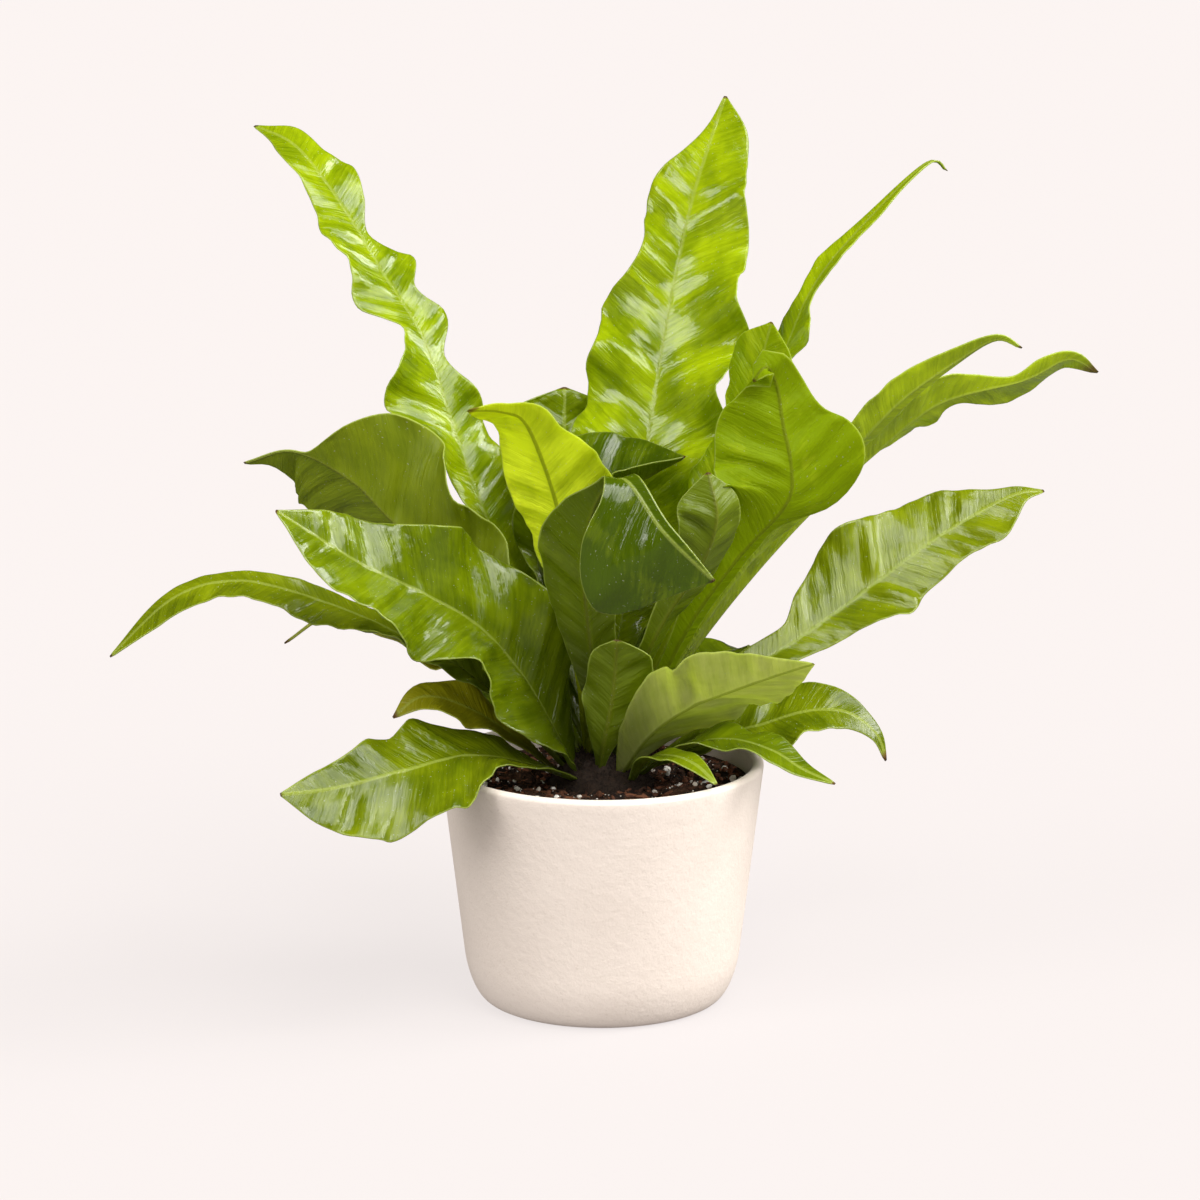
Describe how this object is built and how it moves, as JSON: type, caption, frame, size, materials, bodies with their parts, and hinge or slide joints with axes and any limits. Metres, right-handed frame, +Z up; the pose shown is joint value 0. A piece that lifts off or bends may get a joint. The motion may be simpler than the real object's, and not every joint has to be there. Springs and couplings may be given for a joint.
{
  "type": "potted bird's nest fern",
  "caption": "House plant: a rosette of undivided, wavy-edged green fronds growing from a rootstock in a plain off-white pot of soil. Stands on its flat foot.",
  "frame": {"origin": "centre of the pot's foot, on the surface that it stands on", "axes": "+Z up along the pot's axis; the front of the plant faces -Y and +X is to its right as seen from the front"},
  "size_m": [0.4568, 0.2624, 0.4075],
  "materials": {
    "pot": "matte off-white with a fine bumpy speckle",
    "soil": "dark crumbly potting mix with bark fibres and white perlite",
    "crown": "rough brown fibrous rootstock",
    "frond": "glossy streaked green above, matte and paler below",
    "old_frond": "dull olive to brown, ageing"
  },
  "bodies": {
    "root": {"crown": "crown", "frond_arching_front": "frond", "frond_back_far_left": "frond", "frond_back_low_left": "frond", "frond_back_low_right": "frond", "frond_back_middle": "frond", "frond_back_upright": "frond", "frond_behind_centre": "frond", "frond_behind_right": "frond", "frond_bright_left": "frond", "frond_bright_right": "frond", "frond_broad_left": "frond", "frond_broad_right": "frond", "frond_cupped_small": "frond", "frond_drooping_right": "frond", "frond_dull_left": "frond", "frond_far_left": "frond", "frond_inner_right": "frond", "frond_long_right": "frond", "frond_low_centre": "frond", "frond_low_front_left": "frond", "frond_low_right": "frond", "frond_narrow_right": "frond", "frond_old_left_lower": "old_frond", "frond_old_left_upper": "old_frond", "frond_pale_front_right": "frond", "frond_small_front": "frond", "frond_tall_left": "frond", "frond_tall_middle": "frond", "frond_upper_right": "frond", "pot": "pot", "soil": "soil"}
  },
  "joints": []
}
